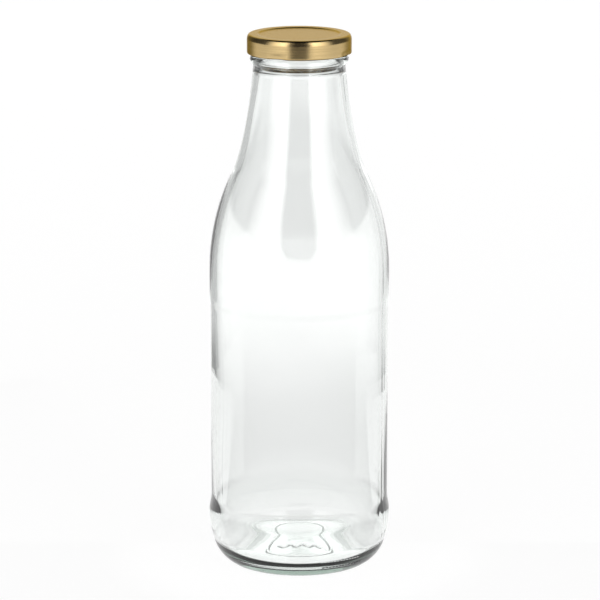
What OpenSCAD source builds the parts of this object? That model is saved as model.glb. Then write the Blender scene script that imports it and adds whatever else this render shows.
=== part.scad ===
// Round glass milk bottle with a lug-closed tin lid.
// Three pieces: the glass, the lid stamped from tinplate, and the seal poured into it.
// The origin is on the axis, on the plane that the bottle stands on.

/* [Bottle] */
// Height of the glass, from the table to the sealing rim
bottle_h = 262.5; // [235:0.5:320]
// Diameter of the label panel
panel_d = 87.6; // [80:0.2:108]
// How far the shoulder band stands out past the panel
shoulder_band = 0.4; // [0.2:0.1:1.5]
// How far the heel band stands out past the panel
heel_band = 1.1; // [0.4:0.1:2.5]
// Glass thickness of the body and the neck
wall = 2.4; // [1.8:0.1:4]

/* [Heights] */
// Height of the widest line of the heel
heel_z = 24; // [20:1:27]
// Height at which the label panel begins
panel_z0 = 33.5; // [32:0.5:50]
// Height at which the label panel ends
panel_z1 = 129; // [90:1:134]
// Height at which the shoulder starts to turn in
shoulder_z = 147; // [140:1:176]
// Height at which the shoulder's curve turns over into the neck's
turn_z = 195.5; // [180:0.5:202]

/* [Curves] */
// Radius of the shoulder's curve
shoulder_r = 110; // [90:1:150]
// Radius of the lower curve of the heel
corner_r = 16; // [12:1:18]
// Angle between the glass and the table where the heel meets the standing ring
foot_lift = 29; // [24:1:34]

/* [Base] */
// Glass thickness in the middle of the base
base_t = 5; // [3.5:0.5:8]
// Height of the inside floor at its edge
floor_z = 6; // [4.5:0.5:9]
// Rise of the hollow under the base
push_up = 4; // [2:0.5:6]
// How far the standing ring's outer edge lies inside the heel band
foot_in = 10; // [9:0.5:12]
// Width of the standing ring
foot_w = 3; // [2:0.5:5]
// Radius between the inside floor and the wall
floor_r = 9; // [6:0.5:12]

/* [Finish] */
// Diameter of the mouth
bore_d = 39; // [34:0.5:47]
// Glass thickness of the finish, between the mouth and the thread
finish_t = 2.9; // [2.5:0.1:4]
// How far the transfer bead stands out past the finish
bead_out = 1.55; // [1:0.05:2]
// Height of the transfer bead
bead_h = 4.7; // [3.5:0.1:6]
// Number of thread ramps, and of lugs on the lid
starts = 4; // [3, 4]
// Rise of the thread in one turn
thread_lead = 12.7; // [12:0.1:16]
// Height of a thread ramp at its crest
thread_h = 1.5; // [1.2:0.1:1.7]
// How far a thread ramp stands out past the finish
thread_out = 1.4; // [1.1:0.1:1.8]
// Angle that one thread ramp runs round the finish
ramp_arc = 80; // [60:1:84]

/* [Lid] */
// Height of the lid
lid_h = 9.4; // [9:0.1:11.5]
// Thickness of the tinplate
tin_t = 0.22; // [0.18:0.01:0.3]
// Radius of the corner between the lid's top and its skirt
lid_corner = 1.2; // [0.8:0.1:1.6]
// Depth of the lid's middle panel below its rim
recess = 0.7; // [0.3:0.1:0.9]
// Diameter of the curl at the skirt's lower edge
curl_d = 1.3; // [1:0.05:1.6]
// Angle that one lug covers
lug_arc = 14; // [10:1:18]
// Thickness of the seal
seal_t = 0.75; // [0.6:0.05:1.2]

/* [Clearances] */
// Height between a lug and the thread ramps above and below it
lug_clear = 0.28; // [0.2:0.01:0.3]
// Radial space between a lug's tip and the finish
tip_clear = 0.5; // [0.3:0.05:0.7]
// Radial space between the lid's curl and the crests of the thread ramps
curl_clear = 0.3; // [0.2:0.05:0.5]
// Space between the lid's lower edge and the transfer bead
bead_clear = 0.4; // [0.3:0.05:1]
// Space on each side of the seal
seal_clear = 0.05; // [0.02:0.01:0.1]

/* [Hidden] */
$fn = 96;

// The bottle's radii
panel_rad = panel_d / 2;
band_rad = panel_rad + shoulder_band;
heel_rad = panel_rad + heel_band;
foot_rad = heel_rad - foot_in;
bore_rad = bore_d / 2;
finish_rad = bore_rad + finish_t;
bead_rad = finish_rad + bead_out;
thread_rad = finish_rad + thread_out;
inner_rad = panel_rad - wall;

// The heights follow from the sealing rim down: the seal, the lid over it, then the bead under the lid
seal_z = bottle_h + seal_clear;
rim_under = seal_z + seal_t + seal_clear;
lid_top = rim_under + tin_t;
lid_z = lid_top - lid_h;
bead_top = lid_z - bead_clear;
neck_top = bead_top - bead_h;

// Height over which the heel and the shoulder band step in to the panel
band_rise = 6;

// The sealing rim's radii, towards the thread and towards the mouth
rim_out_r = 1;
rim_in_r = 1.3;

// The lid's radii
lid_rad = thread_rad + curl_clear + curl_d;
tin_mid = tin_t / 2;
curl_r = curl_d / 2 - tin_mid;
curl_x = lid_rad - curl_d / 2;

// The seal covers the rim: it starts outside the mouth and reaches past the finish
seal_start = 1;
seal_over = 1.1;
seal_in = bore_rad + seal_start;
seal_out = finish_rad + seal_over;

// Width of the slope from the lid's rim down to its middle panel, and of the flat at each end of it
recess_run = 0.8;
recess_flat = 0.1;

// A lug fills what the ramp above it and the ramp below it leave, a little above the lid's lower edge
pitch = thread_lead / starts;
lug_h = pitch - thread_h - 2 * lug_clear;
lug_rise = 0.35;
lug_z = lid_z + lug_rise;
lug_lag = ramp_arc / 2 - lug_arc;
thread_under = lug_z + lug_h + lug_clear + thread_lead * lug_lag / 360;
ramp_tilt = atan(thread_lead * ramp_arc / 720 / (thread_rad * sin(ramp_arc / 2)));

// A ramp's root: how deep it lies in the finish's wall, and its height against the crest's
root_share = 0.25;
root_tall = 1.25;

// The neck's curve: how far its handles reach, as shares of its height, and its slope at the bead
turn_share = 0.04;
neck_share = 0.68;
neck_slope = 0.085;

// Points on an arc, as [radius, height]
function arc(centre, r, a0, a1, n) =
    [for (i = [0:n]) let (a = a0 + (a1 - a0) * i / n) centre + r * [cos(a), sin(a)]];

// Points on a cubic curve between p0 and p3, with handles p1 and p2
function curve(p0, p1, p2, p3, n) =
    [for (i = [0:n]) let (t = i / n, s = 1 - t)
        s * s * s * p0 + 3 * s * s * t * p1 + 3 * s * t * t * p2 + t * t * t * p3];

// Points on a smooth step from p0 to p1 that leaves and arrives upright
function step_up(p0, p1, n) =
    [for (i = [0:n]) let (t = i / n)
        [p0[0] + (p1[0] - p0[0]) * (1 - cos(180 * t)) / 2, p0[1] + (p1[1] - p0[1]) * t]];

// The shoulder turns in on one arc, and the neck's curve leaves it in the same direction
function turn_angle(r) = asin((turn_z - shoulder_z) / r);
function neck_curve(p0, lean, p3, n) = let (h = p3[1] - p0[1])
    curve(p0, p0 + h * turn_share * [-tan(lean), 1],
          p3 + h * neck_share * [neck_slope, -1], p3, n);

// The heel's lower arc starts at the foot, and the upper one touches it and ends upright at heel_z
foot_turn = 90 - foot_lift;
corner_c = [foot_rad - corner_r * cos(foot_turn), corner_r * sin(foot_turn)];
heel_v = [heel_rad, heel_z] - corner_c;
heel_r = (heel_v * heel_v - corner_r * corner_r) / (2 * (heel_v[0] - corner_r));
heel_c = [heel_rad - heel_r, heel_z];
heel_turn = atan(heel_v[1] / (corner_c[0] - heel_c[0]));

// The outside, from the foot up to the bead
function outside() = let (
        centre = [band_rad - shoulder_r, shoulder_z],
        lean = turn_angle(shoulder_r),
        turn = centre + shoulder_r * [cos(lean), sin(lean)])
    concat(
        arc(corner_c, corner_r, -foot_turn, -heel_turn, 8),
        arc(heel_c, heel_r, -heel_turn, 0, 6),
        step_up([heel_rad, panel_z0 - band_rise], [panel_rad, panel_z0], 6),
        step_up([panel_rad, panel_z1], [band_rad, panel_z1 + band_rise], 6),
        arc(centre, shoulder_r, 0, lean, 12),
        neck_curve(turn, lean, [finish_rad, neck_top], 14));

// The bead, the thread's wall and the sealing rim
function finish() = concat(
    [for (a = [-75:15:75]) [finish_rad + bead_out * cos(a), bead_top + bead_h * (sin(a) - 1) / 2]],
    [[finish_rad, bead_top]],
    arc([finish_rad - rim_out_r, bottle_h - rim_out_r], rim_out_r, 0, 90, 5),
    arc([bore_rad + rim_in_r, bottle_h - rim_in_r], rim_in_r, 90, 180, 5));

// The inside, from the mouth down to the middle of the floor
function inside() = let (
        inner_r = shoulder_r - wall,
        centre = [inner_rad - inner_r, shoulder_z],
        lean = turn_angle(inner_r),
        turn = centre + inner_r * [cos(lean), sin(lean)],
        corner = [inner_rad - floor_r, floor_z + floor_r],
        dome_r = dome(corner[0], push_up + base_t - floor_z))
    concat(
        reverse(neck_curve(turn, lean, [bore_rad, neck_top], 14)),
        reverse(arc(centre, inner_r, 0, lean, 12)),
        arc(corner, floor_r, 0, -90, 8),
        arc([0, push_up + base_t - dome_r], dome_r, 90 - asin(corner[0] / dome_r), 90, 5));

// The hollow under the base, from its middle out to the foot
function hollow() = let (edge = foot_rad - foot_w, dome_r = dome(edge, push_up))
    arc([0, push_up - dome_r], dome_r, 90, 90 - asin(edge / dome_r), 6);

// Radius of a dome from its half-width and its rise
function dome(half, rise) = (half * half + rise * rise) / (2 * rise);
function reverse(path) = [for (i = [len(path) - 1:-1:0]) path[i]];

// A sheet's two faces, half its thickness to either side of a path
function side(path, d) = [for (i = [0:len(path) - 1]) let (
        along = path[min(i + 1, len(path) - 1)] - path[max(i - 1, 0)])
    path[i] + d * [along[1], -along[0]] / norm(along)];

// The middle line of the lid's sheet, from the axis out, down the skirt and round the curl
top_mid = lid_top - tin_mid;
skirt_mid = lid_rad - tin_mid;
rim_edge = seal_in - seal_clear;
function sheet() = concat(
    [[0, top_mid - recess]],
    [[rim_edge - recess_run - recess_flat, top_mid - recess]],
    [for (t = [0.1:0.2:0.9]) [rim_edge - recess_run * (1 - t), top_mid - recess * (1 + cos(180 * t)) / 2]],
    [[rim_edge + recess_flat, top_mid]],
    arc([skirt_mid - lid_corner, top_mid - lid_corner], lid_corner, 90, 0, 6),
    arc([curl_x, lid_z + curl_d / 2], curl_r, 0, -270, 12));

module glass_bottle() {
    color([0.86, 0.9, 0.88, 0.35]) {
        rotate_extrude() polygon(concat(outside(), finish(), inside(), hollow()));
        for (i = [0:starts - 1]) rotate(i * 360 / starts) thread_ramp();
    }
}

// One ramp is a short arc of a ring, tilted to the thread's lead, with a flat underside for the lug
module thread_ramp() {
    nose = thread_h / 3;
    root = finish_rad - finish_t * root_share;
    translate([0, 0, thread_under]) rotate([ramp_tilt, 0, 0])
        rotate_extrude(angle = ramp_arc, start = -ramp_arc / 2)
            polygon(concat([[root, 0]],
                arc([thread_rad - nose, nose], nose, -90, 60, 6),
                [[root, thread_h * root_tall]]));
}

module lid_shell() {
    color([0.72, 0.6, 0.36]) {
        rotate_extrude() polygon(concat(side(sheet(), tin_mid), reverse(side(sheet(), -tin_mid))));
        for (i = [0:starts - 1]) rotate(i * 360 / starts - lug_lag) lug();
    }
}

// A lug is the curl pressed in until it reaches under the thread, and it lies at the thread's own slope
module lug() {
    tip = finish_rad + tip_clear;
    nose = lug_h / 2;
    translate([0, 0, lug_z]) rotate([ramp_tilt, 0, 0])
        rotate_extrude(angle = lug_arc, start = -lug_arc / 2)
            polygon(concat(arc([tip + nose, nose], nose, 90, 270, 6), [[skirt_mid, 0]], [[skirt_mid, lug_h]]));
}

module lid_seal() {
    color([0.8, 0.76, 0.66]) rotate_extrude() polygon([
        [seal_in, seal_z],
        [seal_out, seal_z],
        [seal_out, seal_z + seal_t],
        [seal_in, seal_z + seal_t]]);
}

glass_bottle();
lid_shell();
lid_seal();
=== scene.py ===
from math import asin, atan2, cos, degrees, hypot, pi, radians, sin, tan

import bpy
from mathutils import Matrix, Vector


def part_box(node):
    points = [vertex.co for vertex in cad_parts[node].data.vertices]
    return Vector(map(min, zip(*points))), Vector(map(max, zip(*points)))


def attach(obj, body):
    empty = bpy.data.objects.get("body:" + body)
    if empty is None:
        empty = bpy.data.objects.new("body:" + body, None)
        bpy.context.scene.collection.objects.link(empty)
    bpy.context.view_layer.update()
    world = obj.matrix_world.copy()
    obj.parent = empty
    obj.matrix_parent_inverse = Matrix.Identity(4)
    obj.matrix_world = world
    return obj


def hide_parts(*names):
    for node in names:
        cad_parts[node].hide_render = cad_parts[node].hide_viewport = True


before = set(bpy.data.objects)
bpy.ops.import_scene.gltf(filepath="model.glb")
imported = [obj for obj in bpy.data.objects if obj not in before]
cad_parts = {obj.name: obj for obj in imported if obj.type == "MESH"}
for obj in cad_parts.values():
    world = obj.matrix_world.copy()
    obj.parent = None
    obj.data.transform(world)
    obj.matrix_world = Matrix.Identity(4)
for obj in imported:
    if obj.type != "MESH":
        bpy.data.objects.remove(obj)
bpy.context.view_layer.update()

mm = 0.001


# The camera. It stands in front of the bottle and a little above its lid, on a long lens,
# so that the foot is seen more from above than the lid is.
stand_off = 1600 * mm
eye_height = 515 * mm
view_span = 295.4 * mm
look_height = 131.1 * mm
look_side = 0.35 * mm


def camera_at(place, target, span):
    data = bpy.data.cameras.new("camera")
    camera = bpy.data.objects.new("camera", data)
    bpy.context.scene.collection.objects.link(camera)
    sight = Vector(target) - Vector(place)
    data.lens = data.sensor_width * sight.length / span
    data.clip_end = 20
    camera.location = place
    camera.rotation_mode = "QUATERNION"
    camera.rotation_quaternion = sight.to_track_quat("-Z", "Y")
    bpy.context.scene.camera = camera


camera_at((look_side, -stand_off, eye_height), (look_side, 0, look_height), view_span)


# The studio. The bottle stands on a lit white acrylic table. A curved screen, a grey card on the table and
# the room above them are what the glass and the lid mirror: two soft boxes with a dark gap between. What is
# seen straight through the glass is held at about white, so that the bottle looks clear from every side.
def linear(colour):
    """A sRGB hex colour as linear red, green, blue and a full alpha."""
    parts = [int(colour[i:i + 2], 16) / 255 for i in (0, 2, 4)]
    return tuple(p / 12.92 if p <= 0.04045 else ((p + 0.055) / 1.055) ** 2.4 for p in parts) + (1,)


def add_node(tree, kind, links=(), **settings):
    """Adds a node, sets its sockets and its own values by name, and links (output, socket) pairs into it."""
    node = tree.nodes.new(kind)
    for name, value in settings.items():
        socket = node.inputs.get(name.replace("_", " "))
        if socket is not None and not hasattr(node, name):
            socket.default_value = value
        elif name == "stops":
            for place, level in value[1:-1]:
                node.color_ramp.elements.new(place)
            for element, (place, level) in zip(node.color_ramp.elements, value):
                element.position = place
                element.color = (level, level, level, 1) if isinstance(level, (int, float)) else linear(level)
        else:
            setattr(node, name, value)
    for output, socket in links:
        tree.links.new(output, node.inputs[socket])
    return node


def new_material(name):
    material = bpy.data.materials.new(name)
    material.use_nodes = True
    material.node_tree.nodes.clear()
    return material, material.node_tree


def give(piece, material):
    piece.data.materials.clear()
    piece.data.materials.append(material)


def deselect():
    if bpy.context.object and bpy.context.object.mode != "OBJECT":
        bpy.ops.object.mode_set(mode="OBJECT")
    bpy.ops.object.select_all(action="DESELECT")


def seen_only_in_glass(card):
    """The cards light nothing and hide from the camera; only reflections and refractions meet them."""
    card.visible_camera = False
    card.visible_diffuse = False
    card.visible_shadow = False


def around(tree, place):
    """The direction round the bottle as 0 to 1, with 0.5 in front, and 0 and 1 behind it."""
    angle = add_node(tree, "ShaderNodeMath", [(place.outputs["X"], 0)], operation="ARCTAN2")
    front = add_node(tree, "ShaderNodeMath", [(place.outputs["Y"], 0)], operation="MULTIPLY")
    front.inputs[1].default_value = -1
    tree.links.new(front.outputs[0], angle.inputs[1])
    return add_node(tree, "ShaderNodeMapRange", [(angle.outputs[0], "Value")], From_Min=-pi, From_Max=pi)


def turn(angle):
    return 0.5 + angle / 360


table_rad = 6
table_z = -0.1 * mm
table_glow = 0.903
deselect()
bpy.ops.mesh.primitive_circle_add(vertices=96, radius=table_rad, fill_type="NGON", location=(0, 0, table_z))
floor = bpy.context.object
floor.name = "floor"
acrylic, tree = new_material("lit white acrylic")
board = add_node(tree, "ShaderNodeBsdfPrincipled", Base_Color=linear("606060"), Roughness=0.9,
                 Emission_Color=linear("FFFFFF"), Emission_Strength=table_glow)
add_node(tree, "ShaderNodeOutputMaterial", [(board.outputs[0], "Surface")])
give(floor, acrylic)

screen_rad = 380 * mm
screen_top = 560 * mm
screen_low = 225 * mm
soft_edge = 12 * mm
notch = 52 * mm
foot_fade = 28 * mm
foot_share = 0.42
open_from, open_to = -24, 34
box_light = 5
through_light = 3
through_cap = 1.1
deselect()
bpy.ops.mesh.primitive_cylinder_add(vertices=180, radius=screen_rad, depth=screen_top,
                                    end_fill_type="NOTHING", location=(0, 0, screen_top / 2))
bpy.ops.object.transform_apply(location=True)
screen = bpy.context.object
screen.name = "curved_screen"
bpy.ops.object.mode_set(mode="EDIT")
bpy.ops.mesh.select_all(action="DESELECT")
bpy.ops.object.mode_set(mode="OBJECT")
for face in screen.data.polygons:
    face.select = open_from < degrees(atan2(face.center.x, face.center.y)) < open_to
bpy.ops.object.mode_set(mode="EDIT")
bpy.ops.mesh.delete(type="FACE")
bpy.ops.object.mode_set(mode="OBJECT")
cloth, tree = new_material("lit screen cloth")
where = add_node(tree, "ShaderNodeTexCoord")
place = add_node(tree, "ShaderNodeSeparateXYZ", [(where.outputs["Object"], "Vector")])
heading = around(tree, place)
high = add_node(tree, "ShaderNodeValToRGB", [(heading.outputs[0], "Fac")], stops=[
    (turn(-160), 0.13), (turn(-120), 0.02), (turn(-76), 0.02), (turn(-58), 0.5), (turn(-30), 1),
    (turn(-20), 0.01), (turn(20), 0.01), (turn(30), 1), (turn(58), 0.5), (turn(76), 0.03),
    (turn(120), 0.03), (turn(145), 0.18)])
low = add_node(tree, "ShaderNodeValToRGB", [(heading.outputs[0], "Fac")], stops=[
    (turn(-126), 0.13), (turn(-106), 0.37), (turn(106), 0.37), (turn(126), 0.18)])
dip = add_node(tree, "ShaderNodeValToRGB", [(heading.outputs[0], "Fac")], stops=[
    (turn(-26), 0), (turn(-14), 1), (turn(14), 1), (turn(26), 0)])
lift = add_node(tree, "ShaderNodeMath", [(dip.outputs[0], 0), (place.outputs["Z"], 2)],
                operation="MULTIPLY_ADD")
lift.inputs[1].default_value = notch
level = add_node(tree, "ShaderNodeMapRange", [(lift.outputs[0], "Value")],
                 interpolation_type="SMOOTHSTEP",
                 From_Min=screen_low - soft_edge, From_Max=screen_low + soft_edge)
# Glossy Depth is 0 for what is seen straight through the glass, and 1 or more for what it mirrors.
path = add_node(tree, "ShaderNodeLightPath")
foot = add_node(tree, "ShaderNodeMapRange", [(path.outputs["Glossy Depth"], "Value")],
                To_Min=1.0, To_Max=foot_share)
rise = add_node(tree, "ShaderNodeMapRange", [(place.outputs["Z"], "Value"), (foot.outputs[0], "To Min")],
                From_Max=foot_fade)
low_part = add_node(tree, "ShaderNodeMath", [(low.outputs[0], 0), (rise.outputs[0], 1)], operation="MULTIPLY")
both = add_node(tree, "ShaderNodeMix", data_type="RGBA")
for output, socket in ((level.outputs[0], 0), (low_part.outputs[0], 6), (high.outputs[0], 7)):
    tree.links.new(output, both.inputs[socket])
held = add_node(tree, "ShaderNodeMapRange", [(path.outputs["Glossy Depth"], "Value")],
                To_Min=through_light, To_Max=box_light)
bright = add_node(tree, "ShaderNodeMath", [(both.outputs[2], 0), (held.outputs[0], 1)], operation="MULTIPLY")
cap = add_node(tree, "ShaderNodeMapRange", [(path.outputs["Glossy Depth"], "Value")],
               To_Min=through_cap, To_Max=box_light)
shown = add_node(tree, "ShaderNodeMath", [(bright.outputs[0], 0), (cap.outputs[0], 1)], operation="MINIMUM")
glow = add_node(tree, "ShaderNodeEmission", [(shown.outputs[0], "Strength")])
add_node(tree, "ShaderNodeOutputMaterial", [(glow.outputs[0], "Surface")])
give(screen, cloth)
seen_only_in_glass(screen)

card_light = 2.3
card_back = 20 * mm
deselect()
bpy.ops.mesh.primitive_circle_add(vertices=180, radius=screen_rad, fill_type="NGON",
                                  location=(0, 0, table_z / 2))
card = bpy.context.object
card.name = "grey_card"
bpy.ops.object.mode_set(mode="EDIT")
bpy.ops.mesh.bisect(plane_co=(0, card_back, 0), plane_no=(0, 1, 0), clear_outer=True)
bpy.ops.object.mode_set(mode="OBJECT")
graded, tree = new_material("graded grey card")
where = add_node(tree, "ShaderNodeTexCoord")
flat = add_node(tree, "ShaderNodeVectorMath", [(where.outputs["Object"], 0)], operation="LENGTH")
share = add_node(tree, "ShaderNodeMath", [(flat.outputs["Value"], 0)], operation="DIVIDE")
share.inputs[1].default_value = screen_rad
fade = add_node(tree, "ShaderNodeValToRGB", [(share.outputs[0], "Fac")], stops=[
    (0, 0.4), (0.2, 0.4), (0.26, 0.12), (0.8, 0.12), (1, 0.29)])
path = add_node(tree, "ShaderNodeLightPath")
mirrored = add_node(tree, "ShaderNodeMath", [(fade.outputs[0], 0)], operation="MULTIPLY")
mirrored.inputs[1].default_value = card_light
held = add_node(tree, "ShaderNodeMapRange",
                [(path.outputs["Glossy Depth"], "Value"), (mirrored.outputs[0], "To Max")], To_Min=1.0)
glow = add_node(tree, "ShaderNodeEmission", [(held.outputs[0], "Strength")])
add_node(tree, "ShaderNodeOutputMaterial", [(glow.outputs[0], "Surface")])
give(card, graded)
seen_only_in_glass(card)

scene = bpy.context.scene
scene.view_settings.view_transform = "Standard"
scene.view_settings.look = "None"
room = bpy.data.worlds.new("room")
room.use_nodes = True
tree = room.node_tree
tree.nodes.clear()
where = add_node(tree, "ShaderNodeTexCoord")
place = add_node(tree, "ShaderNodeSeparateXYZ", [(where.outputs["Generated"], "Vector")])
heading = around(tree, place)
boxes = add_node(tree, "ShaderNodeValToRGB", [(heading.outputs[0], "Fac")], stops=[
    (turn(-150), 0.01), (turn(-110), 0.1), (turn(-70), 0.6), (turn(-30), 1), (turn(-18), 0.03),
    (turn(18), 0.03), (turn(30), 1), (turn(70), 0.6), (turn(110), 0.1), (turn(150), 0.01)])
back = add_node(tree, "ShaderNodeValToRGB", [(heading.outputs[0], "Fac")], stops=[
    (turn(-140), 0.38), (turn(-110), 0), (turn(110), 0), (turn(140), 0.38)])
climb = add_node(tree, "ShaderNodeMapRange", [(place.outputs["Z"], "Value")],
                 interpolation_type="SMOOTHSTEP", From_Min=0.45, From_Max=0.75, To_Min=1, To_Max=0)
path = add_node(tree, "ShaderNodeLightPath")
open_top = add_node(tree, "ShaderNodeMath", [(climb.outputs[0], 0), (path.outputs["Is Transmission Ray"], 1)],
                    operation="MAXIMUM")
wall_light = add_node(tree, "ShaderNodeMath", [(back.outputs[0], 0), (open_top.outputs[0], 1)],
                      operation="MULTIPLY")
over = add_node(tree, "ShaderNodeMapRange", [(place.outputs["Z"], "Value")],
                interpolation_type="SMOOTHSTEP", From_Min=0.6, From_Max=0.72, To_Min=1, To_Max=0)
front_light = add_node(tree, "ShaderNodeMath", [(boxes.outputs[0], 0), (over.outputs[0], 1)],
                       operation="MULTIPLY")
total = add_node(tree, "ShaderNodeMath", [(wall_light.outputs[0], 0), (front_light.outputs[0], 1)],
                 operation="ADD")
total_light = add_node(tree, "ShaderNodeMath", [(total.outputs[0], 0)], operation="MULTIPLY")
held = add_node(tree, "ShaderNodeMapRange", [(path.outputs["Glossy Depth"], "Value")],
                To_Min=through_light, To_Max=box_light)
tree.links.new(held.outputs[0], total_light.inputs[1])
straight = add_node(tree, "ShaderNodeMapRange", [(path.outputs["Is Transmission Ray"], "Value")],
                    To_Min=box_light, To_Max=through_cap)
cap = add_node(tree, "ShaderNodeMapRange",
               [(path.outputs["Glossy Depth"], "Value"), (straight.outputs[0], "To Min")], To_Max=box_light)
shown = add_node(tree, "ShaderNodeMath", [(total_light.outputs[0], 0), (cap.outputs[0], 1)],
                 operation="MINIMUM")
sky = add_node(tree, "ShaderNodeMix", data_type="FLOAT")
sky.inputs[3].default_value = 1
for output, socket in ((path.outputs["Is Camera Ray"], 0), (shown.outputs[0], 2)):
    tree.links.new(output, sky.inputs[socket])
shine = add_node(tree, "ShaderNodeBackground", [(sky.outputs[0], "Strength")])
add_node(tree, "ShaderNodeOutputWorld", [(shine.outputs[0], "Surface")])
scene.world = room


# The bottle. It is clear soda-lime glass, blown in a two-part iron mould, so its outside follows the mould
# and its inside is free and smooth. The label panel lies back between two bands, the heel and the floor are
# thick, and the finish carries a transfer bead, four thread ramps and a fire-polished rim.
glass_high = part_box("glass_bottle")[1]
shell_low, shell_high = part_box("lid_shell")
rim_z = glass_high.z
heel_rad = min(glass_high.x, glass_high.y)
panel_rad = heel_rad - 1.1 * mm
band_rad = panel_rad + 0.4 * mm
wall = 2.4 * mm
foot_rad = heel_rad - 10 * mm
foot_width = 3 * mm
bore_rad = 19.5 * mm
finish_rad = bore_rad + 2.9 * mm
bead_out = 1.55 * mm
bead_height = 4.7 * mm
bead_top = shell_low.z - 0.4 * mm
neck_top = bead_top - bead_height
heel_z = 24 * mm
panel_z0 = 33.5 * mm
panel_z1 = 129 * mm
band_rise = 6 * mm
heel_rise = 9.5 * mm
shoulder_z = 147 * mm
turn_z = 195.5 * mm
shoulder_r = 110 * mm
corner_r = 16 * mm
foot_start = -61
foot_turn = radians(-foot_start)
corner = (foot_rad - corner_r * cos(foot_turn), corner_r * sin(foot_turn))
floor_z = 4.8 * mm
floor_r = 9 * mm
push_up = 4 * mm
base_t = 5 * mm
low_handle = 0.04
top_handle = 0.68
top_lean = 0.085
columns = 240

starts = 4
thread_lead = 12.7 * mm
thread_height = 1.5 * mm
thread_out = 1.4 * mm
ramp_arc = 80
lug_arc = 14
lug_lag = ramp_arc / 2 - lug_arc
lug_clear = 0.28 * mm
lug_z = shell_low.z + 0.35 * mm
lug_height = thread_lead / starts - thread_height - 2 * lug_clear
thread_under = lug_z + lug_height + lug_clear + thread_lead * lug_lag / 360


def arc(centre, radius, start, end, steps):
    """Points on an arc in the outline's plane, as (radius, height); the angles are in degrees."""
    angles = [radians(start + (end - start) * i / steps) for i in range(steps + 1)]
    return [(centre[0] + radius * cos(a), centre[1] + radius * sin(a)) for a in angles]


def line(here, there, steps):
    """Points on a straight line, without its two ends."""
    shares = [i / steps for i in range(1, steps)]
    return [tuple(h + (t - h) * s for h, t in zip(here, there)) for s in shares]


def step_up(low, high, steps):
    """A smooth step from one point to another that leaves and arrives upright."""
    run, climb = high[0] - low[0], high[1] - low[1]
    shares = [i / steps for i in range(steps + 1)]
    return [(low[0] + run * (1 - cos(pi * s)) / 2, low[1] + climb * s) for s in shares]


def curve(ends, handles, steps):
    """A cubic curve between two ends, with a handle for each."""
    points = []
    for i in range(steps + 1):
        t = i / steps
        weights = ((1 - t) ** 3, 3 * (1 - t) ** 2 * t, 3 * (1 - t) * t * t, t ** 3)
        stops = (ends[0], handles[0], handles[1], ends[1])
        points.append(tuple(sum(w * p[k] for w, p in zip(weights, stops)) for k in (0, 1)))
    return points


def shoulder_and_neck(centre, radius, top, steps):
    """The shoulder's arc, and the neck's curve that leaves it in the same direction and ends at top."""
    lean = asin((turn_z - shoulder_z) / radius)
    bend = (centre[0] + radius * cos(lean), centre[1] + radius * sin(lean))
    rise = top[1] - bend[1]
    handles = ((bend[0] - low_handle * rise * tan(lean), bend[1] + low_handle * rise),
               (top[0] + top_handle * top_lean * rise, top[1] - top_handle * rise))
    return arc(centre, radius, 0, degrees(lean), steps) + curve((bend, top), handles, steps)[1:]


def dome(half, rise):
    return (half * half + rise * rise) / (2 * rise)


def bottle_outline():
    run, climb = heel_rad - corner[0], heel_z - corner[1]
    heel_r = (run ** 2 + climb ** 2 - corner_r ** 2) / (2 * (run - corner_r))
    heel = (heel_rad - heel_r, heel_z)
    heel_turn = degrees(atan2(climb, corner[0] - heel[0]))
    outside = arc(corner, corner_r, foot_start, -heel_turn, 20) + arc(heel, heel_r, -heel_turn, 0, 10)[1:]
    outside += step_up((heel_rad, panel_z0 - heel_rise), (panel_rad, panel_z0), 10)
    outside += step_up((panel_rad, panel_z1), (band_rad, panel_z1 + band_rise), 10)
    outside += shoulder_and_neck((band_rad - shoulder_r, shoulder_z), shoulder_r, (finish_rad, neck_top), 22)
    bead = [(finish_rad + bead_out * cos(radians(a)), bead_top + bead_height * (sin(radians(a)) - 1) / 2)
            for a in range(-80, 81, 10)]
    rim = [(finish_rad, bead_top)] + line((finish_rad, bead_top), (finish_rad, rim_z - 1 * mm), 42)
    rim += arc((finish_rad - 1 * mm, rim_z - 1 * mm), 1 * mm, 0, 90, 6)
    rim += arc((bore_rad + 1.3 * mm, rim_z - 1.3 * mm), 1.3 * mm, 90, 180, 6)
    inner_rad = panel_rad - wall
    inner_r = shoulder_r - wall
    inside = shoulder_and_neck((inner_rad - inner_r, shoulder_z), inner_r, (bore_rad, neck_top), 20)[::-1]
    floor_edge = (inner_rad - floor_r, floor_z + floor_r)
    inside += line(inside[-1], (inner_rad, floor_edge[1]), 16)
    inside += arc(floor_edge, floor_r, 0, -90, 14)
    floor_dome = dome(floor_edge[0], push_up + base_t - floor_z)
    inside += arc((0, push_up + base_t - floor_dome), floor_dome,
                  90 - degrees(asin(floor_edge[0] / floor_dome)), 90, 14)[1:]
    hollow_edge = foot_rad - foot_width
    hollow_dome = dome(hollow_edge, push_up)
    hollow_end = 90 - degrees(asin(hollow_edge / hollow_dome))
    hollow = arc((0, push_up - hollow_dome), hollow_dome, 90, hollow_end, 52)
    return hollow + line((hollow_edge, 0), (foot_rad, 0), 4) + outside + bead + rim + inside


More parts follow.
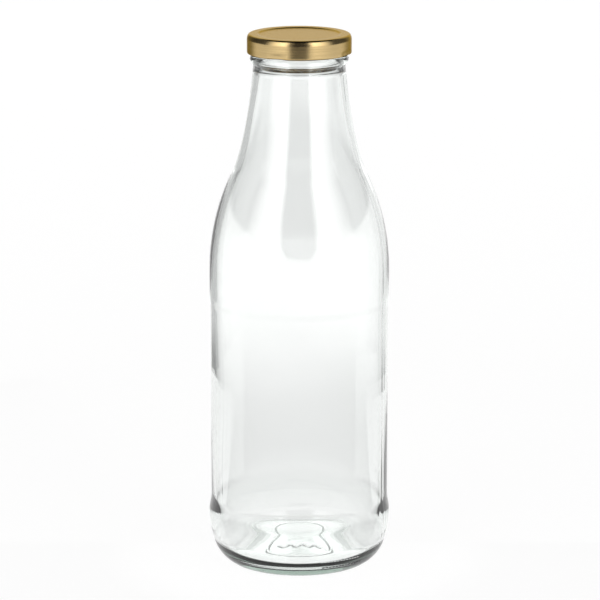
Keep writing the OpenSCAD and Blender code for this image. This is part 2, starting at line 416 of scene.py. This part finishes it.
def turned(name, outline, steps):
    """Draws an outline as a chain of edges and spins it round the axis. The outline closes on itself or
    on the axis."""
    deselect()
    bpy.ops.mesh.primitive_plane_add(size=mm, location=(outline[0][0], 0, outline[0][1]))
    bpy.ops.object.transform_apply(location=True)
    piece = bpy.context.object
    piece.name = piece.data.name = name
    bpy.ops.object.mode_set(mode="EDIT")
    bpy.ops.mesh.merge(type="CENTER")
    for here, there in zip(outline, outline[1:]):
        step = (there[0] - here[0], 0, there[1] - here[1])
        bpy.ops.mesh.extrude_region_move(TRANSFORM_OT_translate={"value": step})
    bpy.ops.mesh.select_all(action="SELECT")
    bpy.ops.mesh.spin(steps=steps, angle=2 * pi, center=(0, 0, 0), axis=(0, 0, 1))
    bpy.ops.mesh.select_all(action="SELECT")
    bpy.ops.mesh.remove_doubles(threshold=0.004 * mm)
    bpy.ops.mesh.normals_make_consistent(inside=False)
    bpy.ops.object.mode_set(mode="OBJECT")
    bpy.ops.object.shade_smooth()
    return piece


def reshape(piece, move):
    """Lets move change each point's radius and height. It is told the point's angle in degrees as well,
    and how far the surface there looks away from the axis: 1 on an outer wall and -1 on an inner one."""
    places = []
    for point in piece.data.vertices:
        x, y, height = point.co
        radius = max(hypot(x, y), 0.001 * mm)
        outward = (point.normal.x * x + point.normal.y * y) / radius
        moved = move(radius, degrees(atan2(y, x)), height, outward)
        places += (x * moved[0] / radius, y * moved[0] / radius, moved[1])
    piece.data.vertices.foreach_set("co", places)
    piece.data.update()


def ease(value):
    """Runs smoothly from 0 to 1 while value does, and stays there outside it."""
    held = min(max(value, 0), 1)
    return held * held * (3 - 2 * held)


def swing(angle, middle):
    return (angle - middle + 180) % 360 - 180


# The thread ramps start and end in the wall, the standing ring is cut by fine notches so that the hot glass
# doesn't stick, the mould's two halves leave a thin seam, and the blown inside runs a little unevenly.
ramp_fade = 7
notch_depth = 0.35 * mm
notch_tall = 0.9 * mm
seam_angle = 339
seam_column = round(seam_angle * columns / 360)
seam_start = 4 * mm
seam_fade = 8 * mm
seam_out = 0.13 * mm
unevenness = 0.14 * mm
blown_from = 22 * mm
blown_fade = 30 * mm
mark_out = 0.4 * mm
mark_run = 10 * mm
mark_ring = 15 * mm


def thread_rise(angle, height):
    rise = 0
    for start in range(starts):
        off = swing(angle, start * 360 / starts)
        share = (height - thread_under - thread_lead * off / 360) / (thread_height * 1.15)
        if 0 < share < 1 and abs(off) < ramp_arc / 2:
            ends = ease((ramp_arc / 2 - abs(off)) / ramp_fade)
            rise = max(rise, thread_out * ends * (1 - abs(2 * share - 1) ** 2.8) ** 0.75)
    return rise


def base_mark(radius, angle):
    """A wavy line across the middle of the base, with a ring round it."""
    x, y = radius * cos(radians(angle)), radius * sin(radians(angle))
    wave = ease(1 - abs(y - 1.1 * mm * sin(x / mm * 1.1)) / (0.75 * mm)) * ease((mark_run - abs(x)) / mm)
    ring = ease(1 - abs(radius - mark_ring) / (0.8 * mm))
    return mark_out * max(wave, 0.7 * ring)


def blown(radius, angle, height, outward):
    column = round(angle * columns / 360)
    if height > bead_top and radius > finish_rad - 0.01 * mm:
        return radius + thread_rise(angle, height), height
    if height < notch_tall and radius > foot_rad - foot_width - 0.1 * mm and column % 2:
        return radius, height + notch_depth * (1 - height / notch_tall)
    if height < push_up + 0.01 * mm and radius < foot_rad - foot_width - 2 * mm:
        return radius, height - base_mark(radius, angle)
    on_seam = (column - seam_column) % (columns // 2) == 0
    if on_seam and outward > 0.3 and seam_start < height < neck_top:
        return radius + seam_out * ease((height - seam_start) / seam_fade), height
    if outward < -0.3 and height < neck_top:
        ends = ease((height - blown_from) / blown_fade) * ease((neck_top - height) / blown_fade)
        waves = (sin(radians(2 * angle + 60) + height / (31 * mm))
                 + sin(radians(3 * angle) - height / (17 * mm)))
        return radius + unevenness * waves * ends, height
    return radius, height


bottle = turned("bottle", bottle_outline(), columns)
reshape(bottle, blown)

# A row of small round moulding marks stands on the right front of the heel. The patch they stand on is cut
# finer first, and laid back on the heel's curve.
mark_start, mark_end, marks = -73, -43, 13
mark_height = 5.4 * mm
mark_rad = 0.72 * mm
mark_lean = radians(50)
patch_low, patch_high = 3 * mm, 8 * mm
patch_edge = 0.6 * mm


def heel_marks(radius, angle, height, outward):
    run, climb = radius - corner[0], height - corner[1]
    span = hypot(run, climb)
    if outward < 0.2 or not patch_low - patch_edge < height < patch_high + patch_edge:
        return radius, height
    if not mark_start - 4 < angle < mark_end + 4:
        return radius, height
    if abs(span - corner_r) > 0.3 * mm:
        return radius, height
    nearest = round((angle - mark_start) / (mark_end - mark_start) * (marks - 1))
    nearest = mark_start + (mark_end - mark_start) * min(max(nearest, 0), marks - 1) / (marks - 1)
    across = radians(angle - nearest) * radius
    along = (height - mark_height) / cos(mark_lean)
    out = mark_out * ease(1.25 - hypot(across, along) / mark_rad)
    return corner[0] + run * (corner_r + out) / span, corner[1] + climb * (corner_r + out) / span


deselect()
bpy.context.view_layer.objects.active = bottle
bottle.select_set(True)
bpy.ops.object.mode_set(mode="EDIT")
bpy.ops.mesh.select_all(action="DESELECT")
bpy.ops.object.mode_set(mode="OBJECT")
for face in bottle.data.polygons:
    bearing = degrees(atan2(face.center.y, face.center.x))
    span = hypot(hypot(face.center.x, face.center.y) - corner[0], face.center.z - corner[1])
    face.select = (mark_start - 3 < bearing < mark_end + 3 and patch_low < face.center.z < patch_high
                   and abs(span - corner_r) < 0.2 * mm)
bpy.ops.object.mode_set(mode="EDIT")
bpy.ops.mesh.subdivide(number_cuts=4)
bpy.ops.object.mode_set(mode="OBJECT")
reshape(bottle, heel_marks)

# Soda-lime glass with a little iron in it: clear on white, and grey-green where the eye looks along it.
# Its skin is fire-polished, but the iron mould's chill leaves a slow ripple on it.
soda_lime, tree = new_material("soda-lime glass")
where = add_node(tree, "ShaderNodeTexCoord")
slow = add_node(tree, "ShaderNodeTexNoise", [(where.outputs["Object"], "Vector")],
                Scale=1 / (22 * mm), Detail=2.0)
ripple = add_node(tree, "ShaderNodeBump", [(slow.outputs[0], "Height")], Strength=0.35, Distance=0.12 * mm)
clear = add_node(tree, "ShaderNodeBsdfPrincipled", [(ripple.outputs[0], "Normal")],
                 Base_Color=linear("FFFFFF"), Roughness=0.0, IOR=1.52)
clear.inputs["Transmission Weight"].default_value = 1
tint = add_node(tree, "ShaderNodeVolumeAbsorption", Color=linear("CBD6D0"), Density=50.0)
add_node(tree, "ShaderNodeOutputMaterial", [(clear.outputs[0], "Surface"), (tint.outputs[0], "Volume")])
give(bottle, soda_lime)
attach(bottle, "bottle")
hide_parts("glass_bottle")


# The lid. It is one sheet of tinplate with a gold lacquer over it, drawn into a cap with a raised rim round a
# lower middle. The skirt's edge is rolled inwards, and pressed in at four places to make the lugs.
tin = 0.22 * mm
lid_top = shell_high.z
lid_foot = shell_low.z
lid_rad = min(shell_high.x, shell_high.y)
edge_rad = 1.1 * mm
brow_rad = 4.5 * mm
brow = 25
recess = 0.45 * mm
recess_run = 1.5 * mm
recess_edge = bore_rad + 0.95 * mm
curl = 1.3 * mm
lug_tip = finish_rad + 0.5 * mm
lug_dent = 0.35 * mm
dent_side = 6
dent_fade = 9
dent_top = 3.4 * mm
dent_rise = 1.9 * mm
lid_columns = 288


def offset(path, distance):
    """A path's copy to one side of it."""
    moved = []
    for i, point in enumerate(path):
        here, there = path[max(i - 1, 0)], path[min(i + 1, len(path) - 1)]
        run, climb = there[0] - here[0], there[1] - here[1]
        span = hypot(run, climb)
        moved.append((point[0] + distance * climb / span, point[1] - distance * run / span))
    return moved


def lid_outline():
    top = lid_top - tin / 2
    skirt = lid_rad - tin / 2
    inner = (recess_edge - recess_run, top - recess)
    step = [(inner[0] + recess_run * i / 8, top - recess * (1 + cos(pi * i / 8)) / 2) for i in range(9)]
    path = [(0, inner[1])] + line((0, inner[1]), inner, 8) + step
    break_x = skirt - brow_rad * (1 - cos(radians(brow))) - edge_rad * cos(radians(brow))
    edge_low = top - edge_rad * (1 - sin(radians(brow))) - brow_rad * sin(radians(brow))
    path += line(step[-1], (break_x, top), 4) + arc((break_x, top - edge_rad), edge_rad, 90, brow, 9)
    path += arc((skirt - brow_rad, edge_low), brow_rad, brow, 0, 9)[1:]
    path += line(path[-1], (skirt, lid_foot + curl / 2), 14)
    path += arc((lid_rad - curl / 2, lid_foot + curl / 2), curl / 2 - tin / 2, 0, -270, 20)
    return offset(path, -tin / 2) + offset(path, tin / 2)[::-1]


def pressed(radius, angle, height, outward):
    """Presses the rolled edge in at each lug, and lays the lug at the thread's slope."""
    for start in range(starts):
        off = swing(angle, start * 360 / starts - lug_lag)
        press = ease((lug_arc / 2 + dent_side - abs(off)) / dent_fade)
        press *= ease((lid_foot + dent_top - height) / dent_rise)
        if press > 0 and radius > lid_rad - 1.5 * curl:
            inward = min(max((lid_rad - radius) / curl, 0), 1)
            rolled = height - lid_foot
            reach = lid_rad - curl - lug_tip
            radius -= press * (lug_dent + (reach - lug_dent) * inward)
            slope = thread_lead * off / 360
            height += press * inward * (lug_z - lid_foot + rolled * (lug_height / curl - 1) + slope)
    return radius, height


lid = turned("lid", lid_outline(), lid_columns)
reshape(lid, pressed)

# Gold-lacquered tinplate: a bright metal under a clear yellow lacquer, whose skin is smoother than the
# sheet. The rolling of the sheet shows as fine lines round the skirt, drawn coarser than they are so that
# they show.
lacquered_tin, tree = new_material("gold-lacquered tinplate")
where = add_node(tree, "ShaderNodeTexCoord")
stretch = add_node(tree, "ShaderNodeMapping", [(where.outputs["Object"], "Vector")])
stretch.inputs["Scale"].default_value = (1 / (30 * mm), 1 / (30 * mm), 1 / (0.35 * mm))
lines = add_node(tree, "ShaderNodeTexNoise", [(stretch.outputs[0], "Vector")], Scale=1.0, Detail=3.0)
grit = add_node(tree, "ShaderNodeTexNoise", [(where.outputs["Object"], "Vector")],
                Scale=1 / (0.6 * mm), Detail=2.0)
mixed = add_node(tree, "ShaderNodeMath", [(lines.outputs[0], 0), (grit.outputs[0], 1)], operation="ADD")
gold = add_node(tree, "ShaderNodeValToRGB", [(lines.outputs[0], "Fac")],
                stops=[(0.3, "94805A"), (0.7, "A08C64")])
matt = add_node(tree, "ShaderNodeMapRange", [(mixed.outputs[0], "Value")], From_Min=0.6, From_Max=1.4,
                To_Min=0.16, To_Max=0.26)
scored = add_node(tree, "ShaderNodeBump", [(mixed.outputs[0], "Height")], Strength=0.12, Distance=0.02 * mm)
sheet = add_node(tree, "ShaderNodeBsdfPrincipled",
                 [(gold.outputs[0], "Base Color"), (matt.outputs[0], "Roughness"),
                  (scored.outputs[0], "Normal")],
                 Metallic=1.0, Specular_Tint=linear("C8B58C"), Coat_Weight=0.05, Coat_Roughness=0.12)
add_node(tree, "ShaderNodeOutputMaterial", [(sheet.outputs[0], "Surface")])
give(lid, lacquered_tin)
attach(lid, "lid")
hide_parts("lid_shell")


# The seal. It is a ring of plastisol, a soft vinyl paste poured into the lid and baked there. It has rounded
# edges, and the bottle's rim has left a shallow groove in it.
seal_low, seal_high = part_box("lid_seal")
seal_out = min(seal_high.x, seal_high.y)
seal_in = bore_rad + 1 * mm
seal_round = 0.22 * mm
groove = 0.1 * mm


def seal_outline():
    inner, outer = seal_in + seal_round, seal_out - seal_round
    low, high = seal_low.z + seal_round, seal_high.z - seal_round
    path = arc((outer, low), seal_round, -90, 0, 4) + arc((outer, high), seal_round, 0, 90, 4)
    path += arc((inner, high), seal_round, 90, 180, 4) + arc((inner, low), seal_round, 180, 270, 4)
    print_in, print_out = bore_rad + 1.3 * mm, finish_rad - 0.2 * mm
    steps = [i / 10 for i in range(1, 10)]
    path += [(print_in + (print_out - print_in) * s, seal_low.z + groove * sin(pi * s)) for s in steps]
    return path + path[:1]


seal = turned("seal", seal_outline(), 180)

# Plastisol is a cream soft vinyl with a dull skin, a little uneven where it flowed before it was baked.
plastisol, tree = new_material("plastisol")
where = add_node(tree, "ShaderNodeTexCoord")
flow = add_node(tree, "ShaderNodeTexNoise", [(where.outputs["Object"], "Vector")],
                Scale=1 / (2.5 * mm), Detail=3.0)
cream = add_node(tree, "ShaderNodeValToRGB", [(flow.outputs[0], "Fac")],
                 stops=[(0.35, "DFD6BD"), (0.65, "EAE3CF")])
dull = add_node(tree, "ShaderNodeMapRange", [(flow.outputs[0], "Value")], To_Min=0.38, To_Max=0.58)
skin = add_node(tree, "ShaderNodeBump", [(flow.outputs[0], "Height")], Strength=0.3, Distance=0.05 * mm)
vinyl = add_node(tree, "ShaderNodeBsdfPrincipled",
                 [(cream.outputs[0], "Base Color"), (dull.outputs[0], "Roughness"),
                  (skin.outputs[0], "Normal")], IOR=1.53)
add_node(tree, "ShaderNodeOutputMaterial", [(vinyl.outputs[0], "Surface")])
give(seal, plastisol)
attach(seal, "seal")
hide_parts("lid_seal")
